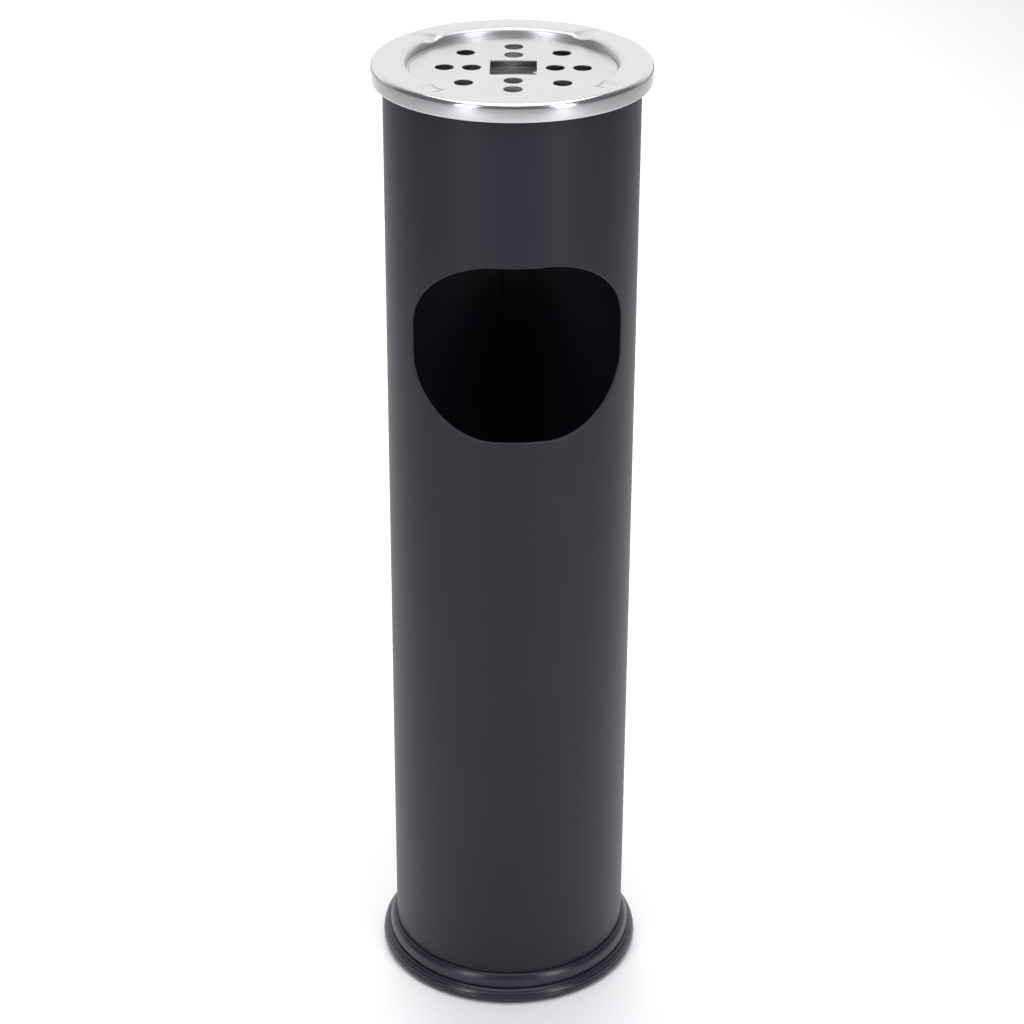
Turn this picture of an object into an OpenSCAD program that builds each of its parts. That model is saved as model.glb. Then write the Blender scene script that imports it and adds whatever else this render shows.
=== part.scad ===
// Floor-standing ashtray bin: a steel tube with a front waste opening, a lift-off ash dish with a
// perforated grate on top, a lift-out liner pail inside, and a plastic plinth on a rubber foot ring.
// Millimetres, +Z up, origin on the floor under the centre of the tube, opening towards -Y.

/* [Body] */
// Height from the floor to the top of the ash dish's rim
overall_h = 608; // [500:1:740]
// Outside diameter of the tube
tube_d = 150; // [142:1:180]
// Sheet thickness of the tube and of the pan that closes it
tube_wall = 0.8; // [0.6:0.1:1.2]
// Outside radius of the edge curled outwards at the top of the tube
tube_curl_r = 2.2; // [1.8:0.1:2.3]
// Width of the weld seam inside the back of the tube
seam_w = 2.5; // [2:0.1:4]

/* [Waste opening] */
// Distance from the rim down to the middle of the opening
opening_drop = 154.1; // [120:0.1:220]
// Width of the opening, seen from the front
opening_w = 121.5; // [100:0.5:125]
// Height of the opening
opening_h = 109; // [92:0.5:130]
// Corner radius of the opening, seen from the front
opening_r = 45.3; // [30:0.1:48]
// How far the edge turned in round the opening stands inside the tube's wall
opening_flange = 1; // [0.6:0.1:4]

/* [Base] */
// Height of the plinth above the floor
plinth_h = 19.4; // [17:0.1:28]
// How far the plinth's bead stands out from the tube
plinth_out = 4.4; // [3.6:0.1:7]
// Height of the rubber foot ring's outer band
foot_h = 10.5; // [10:0.1:12]
// How far the foot ring stands out from the plinth's bead
foot_out = 4.6; // [4:0.1:7]
// Thickness of the rubber lip under the plinth
foot_lip = 2.5; // [2:0.1:3]
// Thickness of the plinth's ledge that the tube stands on
plinth_ledge = 2.5; // [2:0.1:3]
// Height of the pan's floor above the tube's lower edge
pan_h = 5; // [4:0.1:8]

/* [Ash dish] */
// Sheet thickness of the dish
dish_wall = 0.6; // [0.5:0.1:1]
// How far the dish's rim stands out from the tube
rim_out = 6.6; // [6.2:0.1:9]
// Height of the skirt round the rim
skirt_h = 11; // [9:0.1:16]
// Radius of the rim's outer edge
rim_edge_r = 3; // [2:0.1:4]
// Width of the rim, from its outer edge to the dish's mouth
rim_w = 17.4; // [14.5:0.1:20.9]
// Depth of the grate's top below the rim
grate_drop = 4.8; // [4.4:0.1:8]
// Width of the ledge that carries the grate
ledge_w = 4.2; // [3:0.1:6]
// Depth of the well's floor below the rim
well_depth = 30; // [22:0.5:40]
// Radius between the well's wall and its floor
well_corner_r = 8; // [4:0.5:12]
// Width of each cigarette rest at the mouth
rest_w = 15; // [10:0.5:18]
// Depth of each cigarette rest at the mouth
rest_depth = 2; // [1:0.1:2.5]
// Number of cigarette rests
rest_count = 4; // [2:1:6]

/* [Grate] */
// Thickness of the grate
grate_t = 0.8; // [0.6:0.1:1.2]
// Radial gap between the grate and the dish
grate_gap = 1.4; // [0.8:0.1:1.5]
// Diameter of the stub holes
hole_d = 11; // [8:0.5:12]
// Diameter of the circle of eight holes
outer_pcd = 79.4; // [76:0.2:84]
// Diameter of the circle of four holes
inner_pcd = 48.2; // [47:0.2:52]
// Side of the square finger slot
slot_w = 27; // [22:0.5:27]
// Corner radius of the finger slot
slot_r = 1.5; // [1:0.1:3]
// Turn of the loose grate in the dish, in degrees
grate_turn = -5; // [-45:1:45]

/* [Liner pail] */
// Distance from the opening's lower edge down to the liner's rim
liner_drop = 91.4; // [75:0.1:200]
// Sheet thickness of the liner
liner_wall = 0.6; // [0.5:0.1:0.8]
// Radial gap between the liner and whatever stands in furthest from the tube
liner_gap = 1.1; // [0.8:0.1:5]
// Outside radius of the liner's curled rim
liner_curl_r = 1.8; // [1.5:0.1:2.2]
// Height of the recess under the liner's floor
liner_foot = 4; // [3:0.5:8]
// Height of each of the two stiffening beads in the liner's wall
liner_bead_h = 6; // [4:0.5:10]

/* [Bail handle] */
// Diameter of the bail's wire
bail_wire_d = 3.5; // [2.9:0.1:4.2]
// Bend radius where the bail turns out to the ears
bail_bend_r = 4; // [3.5:0.1:5]
// Thickness of the ears
ear_t = 1.2; // [1:0.1:1.5]
// Width of the ears round the liner
ear_w = 18; // [16:0.5:22]
// Diameter of the ears' rivets
rivet_d = 3; // [2.5:0.1:3.5]

/* [Fits] */
// Gap between pieces that lift apart on a curved seat
seat_gap = 0.3; // [0.2:0.05:0.5]
// Radial gap between pieces pushed together
push_gap = 0.1; // [0.05:0.05:0.2]
// Radial gap round the bail in its ears
eye_gap = 0.35; // [0.2:0.05:0.6]

/* [Hidden] */
$fn = 96;

paint = [0.11, 0.12, 0.14];
moulding = [0.08, 0.09, 0.10];
rubber = [0.06, 0.06, 0.07];
stainless = [0.80, 0.80, 0.79];
galvanised = [0.62, 0.64, 0.66];

// Base: the tube and its pan stand on the plinth's ledge, which lies on the foot ring's lip.
tube_r = tube_d / 2;
tube_in = tube_r - tube_wall;
tube_foot_z = foot_lip + plinth_ledge;
plinth_r = tube_r + plinth_out;
plinth_wall_r = plinth_r - 0.4;
foot_r = plinth_r + foot_out;
foot_corner_r = 4.5;
foot_groove = 0.25;
foot_groove_step = 2.8;
parting_gap = 0.3;
pan_r = tube_in - push_gap;
pan_corner_r = 2;
pan_top_z = tube_foot_z + pan_h;
ledge_in = tube_in - 6;

// Dish: its rim hangs over the tube, and the undersides of its rests stand on the tube's curled edge.
rim_r = tube_r + rim_out;
mouth_r = rim_r - rim_w;
skirt_curl_r = 1.2;
return_r = tube_in + 2 * tube_curl_r + 2 * seat_gap;
grate_top_z = overall_h - grate_drop;
ledge_z = grate_top_z - grate_t;
mouth_edge_r = 3;
seat_r = mouth_r - mouth_edge_r;
grate_r = seat_r - grate_gap;
well_r = seat_r - ledge_w;
well_z = overall_h - well_depth;
bend_r = 0.8;
grate_shift = grate_gap - bend_r;
rest_r = (rest_w * rest_w / 4 + rest_depth * rest_depth) / (2 * rest_depth);
rest_out_r = rim_r - rim_edge_r - 1.8;
rest_fall = (rest_depth - dish_wall) / (rest_out_r - mouth_r);
tube_top_z = overall_h - rest_depth + rest_fall * (tube_in - mouth_r) - dish_wall - seat_gap;

// Ears and bail, counted outwards from the liner's rim.
bail_end_gap = 0.4;
bail_head_h = 1.2;
ear_stack = seat_gap + ear_t + bail_end_gap + bail_head_h;

// Liner: it stands on the pan, and clears the flange round the opening and the tube's wall.
opening_z = overall_h - opening_drop;
liner_rim_r = tube_in - liner_gap - max(opening_flange, ear_stack);
liner_in = liner_rim_r - 2 * liner_curl_r;
liner_out = liner_in + liner_wall;
liner_top_z = opening_z - opening_h / 2 - liner_drop;
floor_r = liner_in - push_gap;
floor_top_z = pan_top_z + liner_foot + liner_wall;

// The eyes sit so that the folded bail lies on the liner's rim.
wire_r = bail_wire_d / 2;
eye_z = liner_top_z + seat_gap + wire_r;
eye_r = wire_r + eye_gap;
ear_in = liner_rim_r + seat_gap;
ear_out = ear_in + ear_t;
ear_top_z = eye_z + eye_r + 3;
ear_pad_h = 20;
ear_step_z = liner_top_z - 2 * liner_curl_r - 2;
rivet_r = rivet_d / 2;
rivet_head_r = rivet_d;
rivet_head_h = 0.9;
rivet_z = [ear_step_z - ear_pad_h + 4, ear_step_z - 6.5];
bail_r = liner_rim_r - wire_r - bail_bend_r;
bail_tip_x = ear_out + bail_end_gap;
bail_head_r = eye_r + 0.6;

// Points on an arc from angle a to angle b.
function arc(x, y, r, a, b, n = 8) = [for (i = [0:n]) let (t = a + (b - a) * i / n)
    [x + r * cos(t), y + r * sin(t)]];

// One side of a bent sheet. Each bend is [x, y, radius of the shown side, start angle, end angle,
// and 1 or -1 as the hidden side lies outside or inside that radius]; d is the depth below the shown side.
function sheet_side(bends, d) = [for (b = bends) each
    arc(b[0], b[1], b[2] + b[5] * d, b[3], b[4], b[3] == b[4] ? 0.5 : 10)];

function reversed(list) = [for (i = [len(list) - 1:-1:0]) list[i]];

// Outline of a sheet that follows the bends, t thick.
module sheet(bends, t) {
    polygon(concat(sheet_side(bends, 0), reversed(sheet_side(bends, t))));
}

// A point where the sheet ends, with its hidden side in the direction a.
function sheet_end(x, y, a) = [x, y, 0, a, a, 1];

// A block along Y with the opening's outline grown by g, from the middle of the tube to its front.
module opening_block(g) {
    r = opening_r + g;
    straight_w = opening_w / 2 - opening_r;
    straight_h = opening_h / 2 - opening_r;
    translate([0, 0, opening_z]) rotate([90, 0, 0]) linear_extrude(tube_r + 5) union() {
        square([opening_w + 2 * g, 2 * straight_h], center = true);
        square([2 * straight_w, opening_h + 2 * g], center = true);
        for (x = [-1, 1]) for (y = [-1, 1])
            translate([x * straight_w, y * straight_h]) circle(r);
    }
}

module body_tube() {
    curl = [tube_in + tube_curl_r, tube_top_z - tube_curl_r, tube_curl_r, 180, -70, -1];
    seam_z = pan_top_z + 2 * pan_corner_r;
    seam_angle = seam_w / tube_in * 180 / PI;
    flange_z = opening_z - opening_h / 2 - 5;
    color(paint) difference() {
        union() {
            rotate_extrude() sheet([sheet_end(tube_in, tube_foot_z, 0), curl], tube_wall);
            rotate(90 - seam_angle / 2) rotate_extrude(angle = seam_angle)
                translate([tube_in - tube_wall / 2, seam_z])
                    square([tube_wall, tube_top_z - 3 * tube_curl_r - seam_z]);
            difference() {
                intersection() {
                    opening_block(tube_wall);
                    translate([0, 0, flange_z]) cylinder(r = tube_in + tube_wall / 2, h = opening_h + 10);
                }
                translate([0, opening_flange, flange_z - 1]) cylinder(r = tube_in, h = opening_h + 12);
            }
        }
        opening_block(0);
    }
}

module bottom_pan() {
    bends = [sheet_end(0, pan_top_z, -90),
             [pan_r - pan_corner_r, pan_top_z - pan_corner_r, pan_corner_r, 90, 0, -1],
             sheet_end(pan_r, tube_foot_z, 180)];
    color(paint) rotate_extrude() sheet(bends, tube_wall);
}

module base_plinth() {
    inner = tube_r + push_gap;
    lip = 0.5;
    bead_z = foot_h + parting_gap;
    bead_w = plinth_r - inner - lip;
    bead_top = [for (i = [0:10]) let (a = 90 - 9 * i)
        [inner + lip + bead_w * cos(a), bead_z + 1 + (plinth_h - bead_z - 1) * sin(a)]];
    outline = concat([[inner, plinth_h]], bead_top,
        [[plinth_r, bead_z], [plinth_wall_r, bead_z], [plinth_wall_r, foot_lip],
         [ledge_in, foot_lip], [ledge_in, tube_foot_z], [inner, tube_foot_z]]);
    color(moulding) rotate_extrude() polygon(outline);
}

// Radius of the foot ring's outside at height z: a round lower corner under an elliptic crown.
function foot_side(z) = z < foot_corner_r
    ? foot_r - foot_corner_r + sqrt(pow(foot_corner_r, 2) - pow(foot_corner_r - z, 2))
    : plinth_r + foot_out * sqrt(1 - pow((z - foot_corner_r) / (foot_h - foot_corner_r), 2));

module foot_ring() {
    inner = plinth_wall_r + push_gap;
    crown = [for (i = [1:12]) let (a = 7.5 * i)
        [plinth_r + foot_out * cos(a), foot_corner_r + (foot_h - foot_corner_r) * sin(a)]];
    groove_z = [for (i = [1:3]) foot_groove_step * i + 0.3];
    color(rubber) difference() {
        rotate_extrude() polygon(concat([[ledge_in, 0]],
            arc(foot_r - foot_corner_r, foot_corner_r, foot_corner_r, -90, 0), crown,
            [[inner, foot_h], [inner, foot_lip], [ledge_in, foot_lip]]));
        for (z = groove_z)
            rotate_extrude() translate([foot_side(z) + foot_groove, z]) circle(2 * foot_groove, $fn = 24);
    }
}

// Everything that a cigarette rest takes out of the rim, or with t its sheet as well.
module rest_trough(t) {
    translate([mouth_r, 0, overall_h - rest_depth + rest_r]) rotate([0, 90 - atan(rest_fall), 0])
        cylinder(r = rest_r + t, h = 60, center = true);
}

module ash_dish() {
    bends = [sheet_end(0, well_z, -90),
             [well_r - well_corner_r, well_z + well_corner_r, well_corner_r, -90, 0, 1],
             [well_r + bend_r, ledge_z - bend_r, bend_r, 180, 90, -1],
             [seat_r - bend_r, ledge_z + bend_r, bend_r, -90, 0, 1],
             [mouth_r, overall_h - mouth_edge_r, mouth_edge_r, 180, 90, -1],
             [rim_r - rim_edge_r, overall_h - rim_edge_r, rim_edge_r, 90, 0, -1],
             [rim_r - skirt_curl_r, overall_h - skirt_h + skirt_curl_r, skirt_curl_r, 0, -90, -1],
             sheet_end(return_r, overall_h - skirt_h, 90)];
    angles = [for (i = [0:rest_count - 1]) 360 / rest_count * (i + 0.5)];
    color(stainless) {
        difference() {
            union() {
                rotate_extrude() sheet(bends, dish_wall);
                intersection() {
                    for (a = angles) rotate(a) rest_trough(dish_wall);
                    rotate_extrude() translate([seat_r, overall_h - 2 * mouth_edge_r + bend_r])
                        square([rest_out_r - seat_r, 2 * mouth_edge_r - bend_r - dish_wall / 2]);
                }
            }
            for (a = angles) rotate(a) intersection() {
                rest_trough(0);
                translate([0, -rest_w, overall_h - 2 * mouth_edge_r])
                    cube([rest_out_r, 2 * rest_w, 3 * mouth_edge_r]);
            }
        }
    }
}

module grate() {
    module drilled(pcd, count) {
        for (i = [0:count - 1]) rotate(360 / count * i) translate([pcd / 2, 0, -1])
            cylinder(d = hole_d, h = grate_t + 2);
    }
    module slot() {
        flat = slot_w - 2 * slot_r;
        for (s = [[slot_w, flat], [flat, slot_w]])
            translate([-s[0] / 2, -s[1] / 2, -1]) cube([s[0], s[1], grate_t + 2]);
        for (x = [-1, 1]) for (y = [-1, 1])
            translate([x * flat / 2, y * flat / 2, -1]) cylinder(r = slot_r, h = grate_t + 2);
    }
    color(stainless) translate([grate_shift, 0, ledge_z]) rotate(grate_turn) difference() {
        cylinder(r = grate_r, h = grate_t);
        drilled(outer_pcd, 8);
        drilled(inner_pcd, 4);
        slot();
    }
}

// The rivets' shanks, or with g the holes for them, on both sides of the liner.
module rivet_shanks(g) {
    for (side = [0, 180]) for (z = rivet_z)
        rotate(side) translate([liner_in - 0.6, 0, z]) rotate([0, 90, 0])
            cylinder(r = rivet_r + g, h = liner_wall + ear_t + 1.4);
}

module liner_shell() {
    bead = liner_bead_h / 2;
    bead_z = [for (k = [1, 2]) pan_top_z + (liner_top_z - pan_top_z) * k / 3];
    bends = concat([sheet_end(liner_in, pan_top_z, 0)],
        [for (z = bead_z) each [sheet_end(liner_in, z - bead, 0),
                                [liner_in, z, 1, -60, 60, 1],
                                sheet_end(liner_in, z + bead, 0)]],
        [[liner_rim_r - liner_curl_r, liner_top_z - liner_curl_r, liner_curl_r, 180, -60, -1]]);
    color(galvanised) difference() {
        rotate_extrude() sheet(bends, liner_wall);
        rivet_shanks(push_gap / 2);
    }
}

module liner_floor() {
    bends = [sheet_end(0, floor_top_z, -90),
             [floor_r - pan_corner_r, floor_top_z - pan_corner_r, pan_corner_r, 90, 0, -1],
             sheet_end(floor_r, pan_top_z, 180)];
    color(galvanised) rotate_extrude() sheet(bends, liner_wall);
}

// One ear on the +X side: a pad on the liner's wall, a step out past the rim, and the eye.
module ear() {
    pad_in = liner_out + push_gap / 2;
    step_h = ear_in - pad_in;
    pad_z = ear_step_z - ear_pad_h;
    profile = [[pad_in, pad_z], [pad_in + ear_t, pad_z], [pad_in + ear_t, ear_step_z - step_h - 0.5],
               [ear_out, ear_step_z - 0.5], [ear_out, ear_top_z], [ear_in, ear_top_z],
               [ear_in, ear_step_z], [pad_in, ear_step_z - step_h]];
    corner = 3;
    color(galvanised) difference() {
        intersection() {
            rotate_extrude() polygon(profile);
            translate([pad_in - 5, 0, 0]) rotate([90, 0, 90]) linear_extrude(20) union() {
                translate([-ear_w / 2 + corner, pad_z]) square([ear_w - 2 * corner, ear_top_z - pad_z]);
                translate([-ear_w / 2, pad_z + corner])
                    square([ear_w, ear_top_z - pad_z - 2 * corner]);
                for (y = [-1, 1]) for (z = [pad_z + corner, ear_top_z - corner])
                    translate([y * (ear_w / 2 - corner), z]) circle(corner);
            }
        }
        translate([ear_in - 5, 0, eye_z]) rotate([0, 90, 0]) cylinder(r = eye_r, h = 15);
        rivet_shanks(push_gap / 2);
    }
}

module ear_left() {
    rotate(180) ear();
}

module ear_right() {
    ear();
}

module ear_rivets() {
    inner_face = sqrt(liner_in * liner_in - rivet_head_r * rivet_head_r) - 0.05;
    outer_face = liner_out + push_gap / 2 + ear_t;
    module head(x, side) {
        translate([x, 0, 0]) rotate([0, side * 90, 0]) {
            cylinder(r = rivet_head_r, h = rivet_head_h / 2);
            translate([0, 0, rivet_head_h / 2])
                cylinder(r1 = rivet_head_r, r2 = rivet_head_r * 0.55, h = rivet_head_h / 2);
        }
    }
    color(galvanised) for (side = [0, 180]) for (z = rivet_z) rotate(side) translate([0, 0, z]) {
        head(inner_face, -1);
        head(outer_face, 1);
        translate([inner_face - 0.1, 0, 0]) rotate([0, 90, 0])
            cylinder(r = rivet_r, h = outer_face - inner_face + 0.2);
    }
}

module bail_handle() {
    module hook() {
        translate([bail_r + bail_bend_r, bail_bend_r, 0]) rotate(180) rotate_extrude(angle = 90)
            translate([bail_bend_r, 0]) circle(wire_r, $fn = 32);
        translate([bail_r + bail_bend_r, 0, 0]) rotate([0, 90, 0])
            cylinder(r = wire_r, h = bail_tip_x - bail_r - bail_bend_r + 0.1);
        translate([bail_tip_x, 0, 0]) rotate([0, 90, 0]) cylinder(r = bail_head_r, h = bail_head_h);
    }
    color(galvanised) translate([0, 0, eye_z]) {
        translate([0, bail_bend_r, 0]) rotate_extrude(angle = 180)
            translate([bail_r, 0]) circle(wire_r, $fn = 32);
        hook();
        mirror([1, 0, 0]) hook();
    }
}

body_tube();
bottom_pan();
base_plinth();
foot_ring();
ash_dish();
grate();
liner_shell();
liner_floor();
ear_left();
ear_right();
ear_rivets();
bail_handle();
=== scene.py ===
"""Ashtray bin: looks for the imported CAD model. Metres, +Z up, the waste opening towards -Y."""
import math
import bmesh
import bpy
from mathutils import Matrix, Vector


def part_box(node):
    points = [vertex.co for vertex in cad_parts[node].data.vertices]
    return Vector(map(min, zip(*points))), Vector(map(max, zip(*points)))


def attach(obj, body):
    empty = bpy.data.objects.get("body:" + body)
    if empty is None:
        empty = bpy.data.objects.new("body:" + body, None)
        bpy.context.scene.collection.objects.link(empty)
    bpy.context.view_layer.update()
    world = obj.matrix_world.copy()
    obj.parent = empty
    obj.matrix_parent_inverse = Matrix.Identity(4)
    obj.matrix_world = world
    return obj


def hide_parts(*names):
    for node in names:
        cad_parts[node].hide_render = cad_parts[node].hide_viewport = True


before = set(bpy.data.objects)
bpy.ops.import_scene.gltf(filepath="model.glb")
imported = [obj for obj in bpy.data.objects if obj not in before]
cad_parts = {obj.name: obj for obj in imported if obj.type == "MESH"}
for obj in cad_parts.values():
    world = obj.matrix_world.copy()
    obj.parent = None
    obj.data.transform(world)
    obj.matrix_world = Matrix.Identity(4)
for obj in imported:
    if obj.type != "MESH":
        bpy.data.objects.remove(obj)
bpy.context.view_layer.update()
MM = 0.001
TURN = 2 * math.pi

# ---------------------------------------------------------------- sizes, from the frame where it has them
rim_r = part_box("ash_dish")[1].x
top_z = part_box("ash_dish")[1].z
well_low_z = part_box("ash_dish")[0].z
tube_foot_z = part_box("body_tube")[0].z
tube_top_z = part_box("body_tube")[1].z
plinth_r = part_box("base_plinth")[1].x
plinth_top_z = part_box("base_plinth")[1].z
foot_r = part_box("foot_ring")[1].x
foot_top_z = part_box("foot_ring")[1].z
grate_r = (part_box("grate")[1].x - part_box("grate")[0].x) / 2
grate_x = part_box("grate")[1].x - grate_r
grate_low_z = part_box("grate")[0].z
grate_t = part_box("grate")[1].z - grate_low_z

TUBE_R = 75 * MM
TUBE_WALL = 0.8 * MM
TUBE_CURL = 2.2 * MM
SEAM_W = 2.5 * MM
OPENING_Z = top_z - 154.1 * MM
OPENING_W = 121.5 * MM
OPENING_H = 109 * MM
OPENING_CORNER = 45.3 * MM
OPENING_FLANGE = 1 * MM
OPENING_EDGE = 1.3 * MM
RIM_W = 17.4 * MM
RIM_EDGE = 3 * MM
MOUTH_EDGE = 3 * MM
SKIRT_H = 11 * MM
SKIRT_CURL = 1.2 * MM
DISH_WALL = 0.6 * MM
LEDGE_W = 4.2 * MM
WELL_CORNER = 8 * MM
REST_W = 15 * MM
REST_DEPTH = 2 * MM
REST_COUNT = 4
HOLE_R = 5.5 * MM
OUTER_PCD = 79.4 * MM
INNER_PCD = 48.2 * MM
SLOT_W = 27 * MM
SLOT_R = 1.5 * MM
GRATE_TURN = math.radians(-5)
FOOT_CORNER = 4.5 * MM
FOOT_OUT = 4.6 * MM
GROOVE_DEPTH = 0.25 * MM
GROOVE_HALF_W = 0.45 * MM
GROOVE_STEP = 2.8 * MM
GROOVE_LIFT = 0.3 * MM
PARTING_GAP = 0.3 * MM
# The moulded rings: play round the tube, height of the lower lips, and how far the ledges reach inwards.
TUBE_PLAY = 0.1 * MM
LIP_Z = 2.5 * MM
LEDGE_REACH = 6 * MM
# Faces round a piece.
ROUND = 288
FINE_ROUND = 720
tube_in = TUBE_R - TUBE_WALL
ledge_in = tube_in - LEDGE_REACH
mouth_r = rim_r - RIM_W
seat_r = mouth_r - MOUTH_EDGE
well_r = seat_r - LEDGE_W


# ---------------------------------------------------------------- camera
def add_camera():
    """The camera stands a little to the left of the opening's middle and looks down on the bin."""
    azimuth, pitch, roll = math.radians(4.65), math.radians(27.006), math.radians(0.248)
    yaw = azimuth + math.radians(0.035)
    distance, height = 1.4949, 1.0784
    forward = Vector((math.sin(yaw) * math.cos(pitch), math.cos(yaw) * math.cos(pitch), -math.sin(pitch)))
    level = forward.cross(Vector((0, 0, 1))).normalized()
    upright = level.cross(forward)
    right = level * math.cos(roll) + upright * math.sin(roll)
    up = upright * math.cos(roll) - level * math.sin(roll)
    data = bpy.data.cameras.new("camera")
    data.sensor_width = 36
    data.lens = 94.69
    camera = bpy.data.objects.new("camera", data)
    camera.matrix_world = Matrix((
        (right.x, up.x, -forward.x, -distance * math.sin(azimuth)),
        (right.y, up.y, -forward.y, -distance * math.cos(azimuth)),
        (right.z, up.z, -forward.z, height),
        (0, 0, 0, 1)))
    bpy.context.scene.collection.objects.link(camera)
    bpy.context.scene.camera = camera


# ---------------------------------------------------------------- materials
def new_material(name):
    material = bpy.data.materials.new(name)
    material.use_nodes = True
    tree = material.node_tree
    return material, tree, tree.nodes["Principled BSDF"]


def noise(tree, scale, detail):
    """A noise texture fixed to the object."""
    coord = tree.nodes.new("ShaderNodeTexCoord")
    texture = tree.nodes.new("ShaderNodeTexNoise")
    texture.inputs["Scale"].default_value = scale
    texture.inputs["Detail"].default_value = detail
    tree.links.new(coord.outputs["Object"], texture.inputs["Vector"])
    return texture.outputs["Fac"]


def ramp(tree, source, low, high, start=0.3, end=0.7):
    """Turns a 0 to 1 value into a blend from low to high; both are colours, or both numbers."""
    node = tree.nodes.new("ShaderNodeMapRange" if isinstance(low, (int, float)) else "ShaderNodeValToRGB")
    if isinstance(low, (int, float)):
        for key, value in (("From Min", start), ("From Max", end), ("To Min", low), ("To Max", high)):
            node.inputs[key].default_value = value
        tree.links.new(source, node.inputs["Value"])
        return node.outputs["Result"]
    node.color_ramp.elements[0].position = start
    node.color_ramp.elements[1].position = end
    node.color_ramp.elements[0].color = (*low, 1)
    node.color_ramp.elements[1].color = (*high, 1)
    tree.links.new(source, node.inputs["Fac"])
    return node.outputs["Color"]


def add_bump(tree, shader, height, strength, distance):
    bump = tree.nodes.new("ShaderNodeBump")
    bump.inputs["Strength"].default_value = strength
    bump.inputs["Distance"].default_value = distance
    tree.links.new(height, bump.inputs["Height"])
    tree.links.new(bump.outputs["Normal"], shader.inputs["Normal"])


def powder_coat():
    """Matte anthracite powder coat with a fine orange peel, paler where painted_lip_highlight is high on the
    mesh: a painted highlight along the opening's lip.
    """
    material, tree, shader = new_material("powder_coat")
    # This attribute masks the painted highlight on the opening's lip.
    lip_highlight_mask = tree.nodes.new("ShaderNodeAttribute")
    lip_highlight_mask.attribute_name = "painted_lip_highlight"
    colour = tree.nodes.new("ShaderNodeMix")
    colour.data_type = "RGBA"
    cloud = ramp(tree, noise(tree, 14, 4), (0.011, 0.013, 0.019), (0.013, 0.015, 0.022))
    # A colour mix has its factor in socket 0, its two colours in 6 and 7, and its result in 2.
    tree.links.new(lip_highlight_mask.outputs["Fac"], colour.inputs[0])
    tree.links.new(cloud, colour.inputs[6])
    # The paler colour is a painted highlight standing in for the glint on the opening's rolled lip.
    colour.inputs[7].default_value = (0.055, 0.063, 0.077, 1)
    tree.links.new(colour.outputs[2], shader.inputs["Base Color"])
    tree.links.new(ramp(tree, noise(tree, 900, 2), 0.38, 0.46), shader.inputs["Roughness"])
    shader.inputs["Specular IOR Level"].default_value = 0.28
    add_bump(tree, shader, noise(tree, 1400, 2), 0.25, 0.00012)
    return material


def moulded_plastic():
    """Satin dark plastic with a fine moulded grain."""
    material, tree, shader = new_material("moulded_plastic")
    tree.links.new(ramp(tree, noise(tree, 30, 4), (0.010, 0.013, 0.022), (0.013, 0.016, 0.026)),
                   shader.inputs["Base Color"])
    tree.links.new(ramp(tree, noise(tree, 60, 3), 0.27, 0.31), shader.inputs["Roughness"])
    add_bump(tree, shader, noise(tree, 1800, 2), 0.05, 0.00003)
    return material


def foot_rubber():
    """Smooth dark rubber with a slight bloom."""
    material, tree, shader = new_material("foot_rubber")
    tree.links.new(ramp(tree, noise(tree, 40, 5), (0.010, 0.013, 0.022), (0.013, 0.016, 0.026)),
                   shader.inputs["Base Color"])
    tree.links.new(ramp(tree, noise(tree, 60, 3), 0.22, 0.26), shader.inputs["Roughness"])
    add_bump(tree, shader, noise(tree, 1800, 2), 0.05, 0.00003)
    return material


def polished_steel(name, colour, rough, grain, dull=None):
    """Polished stainless sheet with faint concentric lines, duller between the two radii in dull."""
    material, tree, shader = new_material(name)
    darker = tuple(c * 0.96 for c in colour)
    tree.links.new(ramp(tree, noise(tree, 25, 5), darker, colour), shader.inputs["Base Color"])
    shader.inputs["Metallic"].default_value = 1
    coord = tree.nodes.new("ShaderNodeTexCoord")
    flat = tree.nodes.new("ShaderNodeVectorMath")
    flat.operation = "MULTIPLY"
    flat.inputs[1].default_value = (1, 1, 0)
    radius = tree.nodes.new("ShaderNodeVectorMath")
    radius.operation = "LENGTH"
    tree.links.new(coord.outputs["Object"], flat.inputs[0])
    tree.links.new(flat.outputs["Vector"], radius.inputs[0])
    lines = tree.nodes.new("ShaderNodeTexNoise")
    lines.noise_dimensions = "1D"
    lines.inputs["Scale"].default_value = 2600
    lines.inputs["Detail"].default_value = 3
    tree.links.new(radius.outputs["Value"], lines.inputs["W"])
    roughness = ramp(tree, lines.outputs["Fac"], rough, rough + grain)
    if dull:
        inner, outer = dull
        added = 0.2
        band = tree.nodes.new("ShaderNodeMath")
        band.operation = "MULTIPLY"
        rise = ramp(tree, radius.outputs["Value"], 0.0, added, inner - 1 * MM, inner)
        fall = ramp(tree, radius.outputs["Value"], 1.0, 0.0, outer, outer + 2 * MM)
        tree.links.new(rise, band.inputs[0])
        tree.links.new(fall, band.inputs[1])
        duller = tree.nodes.new("ShaderNodeMath")
        duller.operation = "ADD"
        tree.links.new(roughness, duller.inputs[0])
        tree.links.new(band.outputs["Value"], duller.inputs[1])
        roughness = duller.outputs["Value"]
    tree.links.new(roughness, shader.inputs["Roughness"])
    add_bump(tree, shader, lines.outputs["Fac"], 0.04, 0.00003)
    return material


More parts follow.
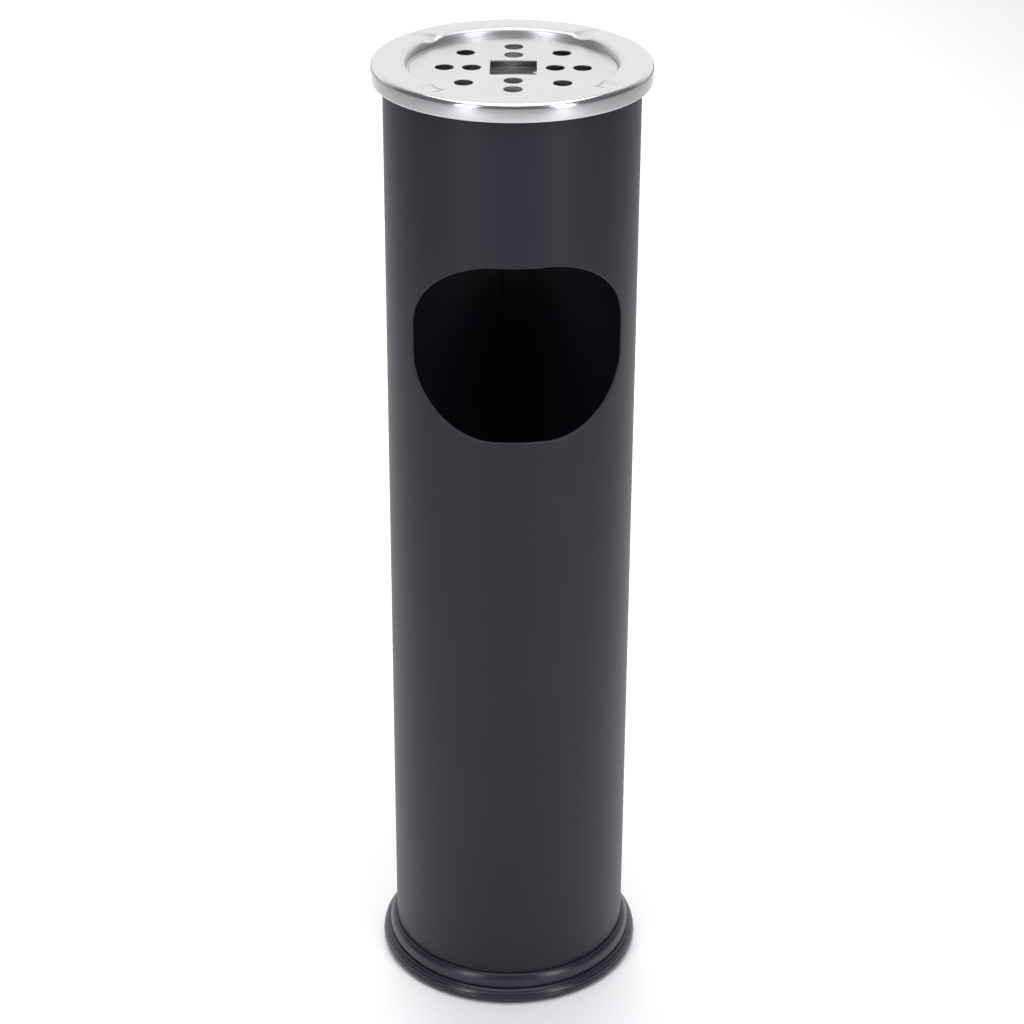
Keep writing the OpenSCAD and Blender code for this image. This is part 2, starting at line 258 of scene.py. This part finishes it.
def galvanised_sheet(name, spangle, rough):
    """Zinc-coated steel: dull grey patches with crystal edges."""
    material, tree, shader = new_material(name)
    coord = tree.nodes.new("ShaderNodeTexCoord")
    cells = tree.nodes.new("ShaderNodeTexVoronoi")
    cells.inputs["Scale"].default_value = spangle
    cells.inputs["Randomness"].default_value = 1
    tree.links.new(coord.outputs["Object"], cells.inputs["Vector"])
    tree.links.new(ramp(tree, cells.outputs["Color"], (0.42, 0.44, 0.46), (0.58, 0.60, 0.61), 0.2, 0.8),
                   shader.inputs["Base Color"])
    roughness = ramp(tree, cells.outputs["Color"], rough, rough + 0.14, 0.2, 0.8)
    tree.links.new(roughness, shader.inputs["Roughness"])
    shader.inputs["Metallic"].default_value = 1
    add_bump(tree, shader, noise(tree, 500, 3), 0.12, 0.0001)
    return material


# ---------------------------------------------------------------- mesh tools
def mesh_object(name, vertices, faces, material, sharp=32):
    """A mesh piece, smooth except where its faces meet at more than sharp degrees."""
    mesh = bpy.data.meshes.new(name)
    mesh.from_pydata(vertices, [], faces)
    mesh.validate()
    mesh.polygons.foreach_set("use_smooth", [True] * len(mesh.polygons))
    mesh.set_sharp_from_angle(angle=math.radians(sharp))
    piece = bpy.data.objects.new(name, mesh)
    bpy.context.scene.collection.objects.link(piece)
    mesh.materials.append(material)
    return piece


def arc(x, z, r, start, end, steps=8):
    """Points on an arc about (x, z), with angles in degrees."""
    return [(x + r * math.cos(math.radians(start + (end - start) * i / steps)),
             z + r * math.sin(math.radians(start + (end - start) * i / steps))) for i in range(steps + 1)]


def line(a, b, step=0.002):
    """Points from a to b, both included, no more than a step apart."""
    count = max(1, math.ceil(math.dist(a, b) / step))
    return [(a[0] + (b[0] - a[0]) * i / count, a[1] + (b[1] - a[1]) * i / count) for i in range(count + 1)]


def without_repeats(points):
    kept = [points[0]]
    for point in points[1:]:
        if math.dist(point, kept[-1]) > 1e-6:
            kept.append(point)
    return kept


def lathe(name, outline, material, segments=256, sharp=32, shape=None):
    """Turns a closed outline of (radius, z) about Z. shape(radius, angle, z) may change a point's height."""
    outline = without_repeats(outline)
    if math.dist(outline[0], outline[-1]) < 1e-6:
        outline.pop()
    vertices, rings = [], []
    for r, z in outline:
        if r < 1e-7:
            rings.append([len(vertices)] * segments)
            vertices.append((0, 0, z))
            continue
        rings.append(list(range(len(vertices), len(vertices) + segments)))
        for k in range(segments):
            a = TURN * k / segments
            vertices.append((r * math.cos(a), r * math.sin(a), shape(r, a, z) if shape else z))
    faces = []
    for i, ring in enumerate(rings):
        following = rings[(i + 1) % len(rings)]
        if ring[0] == ring[1] and following[0] == following[1]:
            continue
        for k in range(segments):
            m = (k + 1) % segments
            corners = [ring[k], following[k], following[m], ring[m]]
            faces.append([c for j, c in enumerate(corners) if c not in corners[:j]])
    return mesh_object(name, vertices, faces, material, sharp)


# ---------------------------------------------------------------- tube
def opening_distance(x, z, grow):
    """How far (x, z), seen from the front, lies outside the opening's outline grown by grow."""
    corner = OPENING_CORNER + grow
    dx = abs(x) - (OPENING_W / 2 - OPENING_CORNER)
    dz = abs(z - OPENING_Z) - (OPENING_H / 2 - OPENING_CORNER)
    outside = math.hypot(max(dx, 0), max(dz, 0))
    return outside + min(max(dx, dz), 0) - corner


def opening_point(angle, z, r, grow):
    """Where a line on the tube, from the opening's middle towards (angle, z), crosses the grown outline."""
    low, high = 0.0, 1.0
    for _ in range(40):
        t = (low + high) / 2
        inside = opening_distance(r * math.sin(t * angle), OPENING_Z + t * (z - OPENING_Z), grow) < 0
        low, high = (t, high) if inside else (low, t)
    return low * angle, OPENING_Z + low * (z - OPENING_Z)


def on_tube(angle, z, r, inward=0.0):
    """A point at radius r, an angle from the opening's middle, moved inward along Y."""
    return (r * math.sin(angle), -r * math.cos(angle) + inward, z)


def build_tube(material):
    """The tube's outer and inner walls, joined round the opening by its rolled flange and at both ends."""
    # The grid has a window round the opening: this many columns and this far in Z each way of its middle.
    segments, window, reach = ROUND, 60, 75 * MM
    step, step_z, window_step_z = TURN / segments, 5 * MM, 2.5 * MM
    rows_below = line((0, tube_foot_z), (0, OPENING_Z - reach), step_z)
    rows_window = line((0, OPENING_Z - reach), (0, OPENING_Z + reach), window_step_z)
    rows_above = line((0, OPENING_Z + reach), (0, tube_top_z - TUBE_CURL), step_z)
    rows = [z for _, z in rows_below + rows_window[1:] + rows_above[1:]]
    first, last = len(rows_below) - 1, len(rows_below) + len(rows_window) - 2
    vertices, faces = [], []

    def add(point):
        vertices.append(point)
        return len(vertices) - 1

    def join(ring_a, ring_b):
        for k in range(len(ring_a)):
            m = (k + 1) % len(ring_a)
            faces.append((ring_a[k], ring_a[m], ring_b[m], ring_b[k]))

    def wall(r, grow):
        """One wall. Returns its grid, its window's border as (angle, z), and its ring round the opening."""
        grid = {}
        for j, z in enumerate(rows):
            for k in range(segments):
                column = k if k <= segments // 2 else k - segments
                if not (first < j < last and abs(column) < window):
                    grid[j, k] = add(on_tube(step * column, z, r))
        for j in range(len(rows) - 1):
            for k in range(segments):
                column = k if k < segments // 2 else k - segments
                if first <= j < last and -window <= column < window:
                    continue
                m = (k + 1) % segments
                faces.append((grid[j, k], grid[j, m], grid[j + 1, m], grid[j + 1, k]))
        border = [(c, first) for c in range(-window, window)] + [(window, j) for j in range(first, last)]
        border += [(c, last) for c in range(window, -window, -1)]
        border += [(-window, j) for j in range(last, first, -1)]
        edge = [grid[j, c % segments] for c, j in border]
        place = [(step * c, rows[j]) for c, j in border]
        outline = [opening_point(a, z, r, grow) for a, z in place]
        previous = edge
        bands = 14
        for i in range(1, bands + 1):
            t = (i / bands) ** 0.75
            ring = [add(on_tube(a + (b - a) * t, z + (y - z) * t, r))
                    for (a, z), (b, y) in zip(place, outline)]
            join(previous, ring)
            previous = ring
        return grid, place, previous

    outer, place, outer_edge = wall(TUBE_R, OPENING_EDGE)
    inner, _, inner_edge = wall(tube_in, TUBE_WALL)
    # The lip as (growth, depth): the rolled edge, then the flange's cut edge with its corners taken off.
    deep = TUBE_WALL + OPENING_FLANGE
    side, corner, top_off = deep - 0.25 * MM, 0.12 * MM, deep - 0.04 * MM
    lip = arc(OPENING_EDGE, OPENING_EDGE, OPENING_EDGE, -90, -180, 8)[1:]
    lip += [(0, side), (corner, top_off), (TUBE_WALL / 2, deep)]
    lip += [(TUBE_WALL - corner, top_off), (TUBE_WALL, side)]
    previous = outer_edge
    lip_start = len(vertices)
    for grow, depth in lip:
        t = depth / deep
        r = TUBE_R - TUBE_WALL * t
        ring = [add(on_tube(*opening_point(a, z, r, grow), r, OPENING_FLANGE * t)) for a, z in place]
        join(previous, ring)
        previous = ring
    join(previous, inner_edge)
    lip_end = len(vertices)

    top = len(rows) - 1
    curl_x, curl_z = tube_in + TUBE_CURL, tube_top_z - TUBE_CURL
    outer_arc = arc(curl_x, curl_z, TUBE_CURL - TUBE_WALL, 180, -70, 24)[1:]
    inner_arc = arc(curl_x, curl_z, TUBE_CURL, 180, -70, 24)[1:]
    previous = [outer[top, k] for k in range(segments)]
    for r, z in outer_arc + inner_arc[::-1]:
        ring = [add(on_tube(step * k, z, r)) for k in range(segments)]
        join(previous, ring)
        previous = ring
    join(previous, [inner[top, k] for k in range(segments)])
    join([outer[0, k] for k in range(segments)], [inner[0, k] for k in range(segments)])
    tube = mesh_object("tube", vertices, faces, material, 40)
    # Painted highlight on the lip: the coat's colour pales from the rolled edge towards the flange's cut edge.
    lip_highlight_mask = tube.data.attributes.new("painted_lip_highlight", "FLOAT", "POINT")
    for k in range(lip_start, lip_end):
        lip_highlight_mask.data[k].value = ((k - lip_start) // len(place)) / (len(lip) - 1)
    make_normals_face_out(tube)
    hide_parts("body_tube")
    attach(tube, "cabinet")


def make_normals_face_out(piece):
    shape = bmesh.new()
    shape.from_mesh(piece.data)
    bmesh.ops.recalc_face_normals(shape, faces=shape.faces)
    shape.to_mesh(piece.data)
    shape.free()


def build_seam(material):
    """The weld seam up the inside of the tube's back: a low bead whose edges run into the wall."""
    thick, bevel = 0.35 * MM, 0.7 * MM
    sunk = 0.05 * MM
    low, high = tube_foot_z + 9 * MM, tube_top_z - 3 * TUBE_CURL
    across = [(-0.5, 0), (-0.5 + bevel / SEAM_W / 2, thick * 0.7), (-0.5 + bevel / SEAM_W, thick),
              (0.5 - bevel / SEAM_W, thick), (0.5 - bevel / SEAM_W / 2, thick * 0.7), (0.5, 0)]
    rows = line((0, low), (0, high), 20 * MM)
    vertices = []
    for _, z in rows:
        for s, depth in across:
            r = tube_in + sunk - depth
            a = math.pi + s * SEAM_W / tube_in
            vertices.append((r * math.sin(a), -r * math.cos(a), z))
    n = len(across)
    faces = [(j * n + i, j * n + i + 1, (j + 1) * n + i + 1, (j + 1) * n + i)
             for j in range(len(rows) - 1) for i in range(n - 1)]
    faces += [tuple(range(n)), tuple(range(len(vertices) - 1, len(vertices) - n - 1, -1))]
    faces += [((j + 1) * n, (j + 2) * n - 1, (j + 1) * n - 1, j * n) for j in range(len(rows) - 1)]
    seam = mesh_object("tube_seam", vertices, faces, material, 60)
    make_normals_face_out(seam)
    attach(seam, "cabinet")


# ---------------------------------------------------------------- base
def build_plinth(material):
    """An elliptic bead round the tube, over a wall inside the foot ring and a ledge that carries the tube."""
    inner = TUBE_R + TUBE_PLAY
    lip, upright, chamfer, edge = 0.5 * MM, 1 * MM, 0.15 * MM, 0.2 * MM
    bead_z = foot_top_z + PARTING_GAP
    wall_r = plinth_r - 0.4 * MM
    bead_w, bead_h = plinth_r - inner - lip, plinth_top_z - bead_z - upright
    outline = [(inner, plinth_top_z - chamfer), (inner + chamfer, plinth_top_z)]
    for a in range(90, -1, -6):
        c, t = math.cos(math.radians(a)), math.sin(math.radians(a))
        outline.append((inner + lip + bead_w * c, bead_z + upright + bead_h * t))
    outline += arc(plinth_r - edge, bead_z + edge, edge, 0, -90, 4)
    outline += [(wall_r, bead_z), (wall_r, LIP_Z), (ledge_in, LIP_Z), (ledge_in, tube_foot_z)]
    outline += [(inner, tube_foot_z)]
    plinth = lathe("plinth", outline, material, ROUND)
    make_normals_face_out(plinth)
    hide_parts("base_plinth")
    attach(plinth, "cabinet")


def build_foot_ring(material):
    """A round lower corner under an elliptic crown, crossed by three fine moulded grooves."""
    inner = plinth_r - 0.3 * MM
    edge = 0.2 * MM
    crown_h = foot_top_z - FOOT_CORNER
    side = []
    for a in range(-90, 0, 2):
        c, t = math.cos(math.radians(a)), math.sin(math.radians(a))
        side.append((foot_r - FOOT_CORNER + FOOT_CORNER * c, FOOT_CORNER + FOOT_CORNER * t, c, t))
    for a in range(89):
        c, t = math.cos(math.radians(a)), math.sin(math.radians(a))
        slope = math.hypot(c / FOOT_OUT, t / crown_h)
        facing = (c / FOOT_OUT / slope, t / crown_h / slope)
        side.append((plinth_r + FOOT_OUT * c, FOOT_CORNER + crown_h * t, *facing))
    outline = [(ledge_in, 0)]
    for r, z, facing_r, facing_z in side:
        off = min(abs(z - GROOVE_STEP * k - GROOVE_LIFT) for k in (1, 2, 3)) / GROOVE_HALF_W
        cut = GROOVE_DEPTH * max(0.0, 1 - off * off)
        outline.append((r - cut * facing_r, z - cut * facing_z))
    outline += arc(inner + edge, foot_top_z - edge, edge, 90, 180, 4)
    outline += [(inner, LIP_Z), (ledge_in, LIP_Z)]
    foot = lathe("foot", outline, material, ROUND)
    make_normals_face_out(foot)
    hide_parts("foot_ring")
    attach(foot, "cabinet")


# ---------------------------------------------------------------- ash dish
def rest_drop(r, angle, below_rim):
    """How far a rest lowers the sheet at this radius and angle, where the sheet is below_rim under the rim."""
    if r < seat_r - 0.1 * MM or r > rim_r - RIM_EDGE:
        return 0.0
    pitch = TURN / REST_COUNT
    off = (angle / pitch) % 1 - 0.5
    along, across = r * math.cos(off * pitch), r * math.sin(off * pitch)
    curve = (REST_W ** 2 / 4 + REST_DEPTH ** 2) / (2 * REST_DEPTH)
    if abs(across) > REST_W:
        return 0.0
    end = rim_r - RIM_EDGE - 1.8 * MM
    fall = (REST_DEPTH - DISH_WALL) / (end - mouth_r)
    depth = REST_DEPTH - fall * (along - mouth_r) - (curve - math.sqrt(curve ** 2 - across ** 2))
    depth *= min(1.0, max(0.0, (end + 0.6 * MM - along) / (1.6 * MM))) ** 0.5
    soft = 0.35 * MM
    over = depth - below_rim
    return 0.5 * (over + math.sqrt(over * over + soft * soft)) - 0.02 * MM if over > -4 * soft else 0.0


def build_dish(material):
    """One sheet: well, ledge for the grate, mouth, flat rim with its rests, and rolled skirt."""
    floor_z = well_low_z + DISH_WALL
    ledge_z = grate_low_z
    bend = 0.8 * MM

    def side(d):
        """The shown side of the sheet at d = 0, the hidden side at d = the sheet's thickness."""
        corner = WELL_CORNER + d
        points = line((0, floor_z - d), (well_r - WELL_CORNER, floor_z - d), 4 * MM)
        points += arc(well_r - WELL_CORNER, floor_z + WELL_CORNER, corner, -90, 0, 14)
        points += arc(well_r + bend, ledge_z - bend, bend - d, 180, 90, 6)
        points += arc(seat_r - bend, ledge_z + bend, bend + d, -90, 0, 6)
        points += arc(mouth_r, top_z - MOUTH_EDGE, MOUTH_EDGE - d, 180, 90, 14)
        points += line((mouth_r, top_z - d), (rim_r - RIM_EDGE, top_z - d), 0.6 * MM)
        points += arc(rim_r - RIM_EDGE, top_z - RIM_EDGE, RIM_EDGE - d, 90, 0, 12)
        points += arc(rim_r - SKIRT_CURL, top_z - SKIRT_H + SKIRT_CURL, SKIRT_CURL - d, 0, -90, 8)
        return points + [(tube_in + 2 * TUBE_CURL + 0.6 * MM, top_z - SKIRT_H + d)]

    def shape(r, angle, z):
        """Presses the rests into the rim and the mouth's rounding, and leaves the sheet below them alone."""
        below = top_z - z
        if below > 2 * MOUTH_EDGE:
            return z
        return z - rest_drop(r, angle, below if below > DISH_WALL * 1.5 else 0.0)

    outline = side(0) + side(DISH_WALL)[::-1]
    dish = lathe("dish", outline, material, FINE_ROUND, 40, shape)
    make_normals_face_out(dish)
    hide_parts("ash_dish")
    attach(dish, "dish")


# ---------------------------------------------------------------- grate
def ring_points(x, y, r, count):
    """Points round a circle."""
    return [(x + r * math.cos(TURN * k / count), y + r * math.sin(TURN * k / count)) for k in range(count)]


def build_grate(material):
    """A punched disc: one filled flat curve whose cut edges are slightly rounded."""
    flat = SLOT_W / 2 - SLOT_R
    slot = []
    for quarter, (x, y) in enumerate(((flat, flat), (-flat, flat), (-flat, -flat), (flat, -flat))):
        slot += arc(x, y, SLOT_R, 90 * quarter, 90 * quarter + 90, 8)
    loops = [ring_points(0, 0, grate_r, ROUND), slot]
    for pcd, count in ((OUTER_PCD, 8), (INNER_PCD, 4)):
        for k in range(count):
            a = TURN * k / count
            loops.append(ring_points(pcd / 2 * math.cos(a), pcd / 2 * math.sin(a), HOLE_R, 72))
    edge = 0.15 * MM
    curve = bpy.data.curves.new("grate_outline", "CURVE")
    curve.dimensions = "2D"
    curve.fill_mode = "BOTH"
    curve.extrude = grate_t / 2 - edge
    curve.bevel_depth = edge
    curve.bevel_resolution = 3
    curve.offset = -edge
    for loop in loops:
        spline = curve.splines.new("POLY")
        spline.points.add(len(loop) - 1)
        for point, (x, y) in zip(spline.points, loop):
            point.co = (x, y, 0, 1)
        spline.use_cyclic_u = True
    source = bpy.data.objects.new("grate_outline", curve)
    bpy.context.scene.collection.objects.link(source)
    bpy.context.view_layer.update()
    mesh = bpy.data.meshes.new_from_object(source.evaluated_get(bpy.context.evaluated_depsgraph_get()))
    place = Matrix.Translation((grate_x, 0, grate_low_z + grate_t / 2))
    mesh.transform(place @ Matrix.Rotation(GRATE_TURN, 4, "Z"))
    bpy.data.objects.remove(source)
    mesh.name = "grate_disc"
    mesh.polygons.foreach_set("use_smooth", [True] * len(mesh.polygons))
    mesh.set_sharp_from_angle(angle=math.radians(20))
    mesh.materials.clear()
    mesh.materials.append(material)
    grate = bpy.data.objects.new("grate_disc", mesh)
    bpy.context.scene.collection.objects.link(grate)
    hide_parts("grate")
    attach(grate, "grate")


# ---------------------------------------------------------------- stage
DARK_STUDIO = (0.155, 0.16, 0.175)
BACKDROP = 1.15
FLOOR_REACH = 12
PANEL_Z = 1.4
PANEL_W = 1.0


def build_stage():
    """A pale floor, a surround that is white behind the bin and dark elsewhere, and soft lights."""
    material, tree, shader = new_material("floor")
    tree.links.new(ramp(tree, noise(tree, 3, 2), (0.90, 0.90, 0.90), (0.93, 0.93, 0.93)),
                   shader.inputs["Base Color"])
    shader.inputs["Roughness"].default_value = 0.9
    shader.inputs["Specular IOR Level"].default_value = 0.1
    corners = [(x * FLOOR_REACH, y * FLOOR_REACH, 0) for x, y in ((-1, -1), (1, -1), (1, 1), (-1, 1))]
    floor = mesh_object("floor", corners, [(0, 1, 2, 3)], material)

    world = bpy.data.worlds.new("studio")
    bpy.context.scene.world = world
    world.use_nodes = True
    tree = world.node_tree
    coord = tree.nodes.new("ShaderNodeTexCoord")
    direction = tree.nodes.new("ShaderNodeSeparateXYZ")
    tree.links.new(coord.outputs["Generated"], direction.inputs["Vector"])
    tree.links.new(ramp(tree, direction.outputs["Y"], DARK_STUDIO, (1, 1, 1), 0.3, 0.75),
                   tree.nodes["Background"].inputs["Color"])
    tree.nodes["Background"].inputs["Strength"].default_value = BACKDROP

    def area(name, place, target, width, height, power, colour=(1, 1, 1)):
        """A soft box at place that faces target and can't be seen by the camera."""
        data = bpy.data.lights.new(name, "AREA")
        data.shape = "RECTANGLE"
        data.size, data.size_y, data.energy, data.color = width, height, power, colour
        light = bpy.data.objects.new(name, data)
        light.location = place
        light.rotation_euler = (Vector(target) - Vector(place)).to_track_quat("-Z", "Y").to_euler()
        light.visible_camera = False
        bpy.context.scene.collection.objects.link(light)
        return light

    # Three panels light the floor from above. Only the one over the bin shows in the steel.
    for name, y, length, power, shows in (("top_panel", -0.05, 0.9, 7, True),
                                          ("front_panel", -0.75, 0.5, 5.5, False),
                                          ("back_panel", 1.9, 3.0, 29, False)):
        panel = area(name, (0, y, PANEL_Z), (0, y, 0), PANEL_W, length, power)
        panel.visible_glossy = shows
    for side in (-1, 1):
        area("front_box", (1.25 * side - 0.1, -1.55, 1.0), (0, 0, 0.5), 0.5, 1.8, 15, (0.93, 0.97, 1))
    bpy.context.scene.view_settings.view_transform = "Standard"


# ---------------------------------------------------------------- assembly
add_camera()
coat = powder_coat()
build_tube(coat)
build_seam(coat)
build_plinth(moulded_plastic())
build_foot_ring(foot_rubber())
build_dish(polished_steel("dish_steel", (0.64, 0.64, 0.64), 0.13, 0.04, (seat_r - 2 * MM, mouth_r)))
build_grate(polished_steel("grate_steel", (0.65, 0.65, 0.65), 0.28, 0.05))
zinc = galvanised_sheet("galvanised_sheet", 90, 0.34)
wire = galvanised_sheet("zinc_wire", 400, 0.28)
for node, material in (("bottom_pan", coat), ("liner_shell", zinc), ("liner_floor", zinc), ("ear_left", zinc),
                       ("ear_right", zinc), ("ear_rivets", wire), ("bail_handle", wire)):
    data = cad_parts[node].data
    data.materials.clear()
    data.materials.append(material)
build_stage()
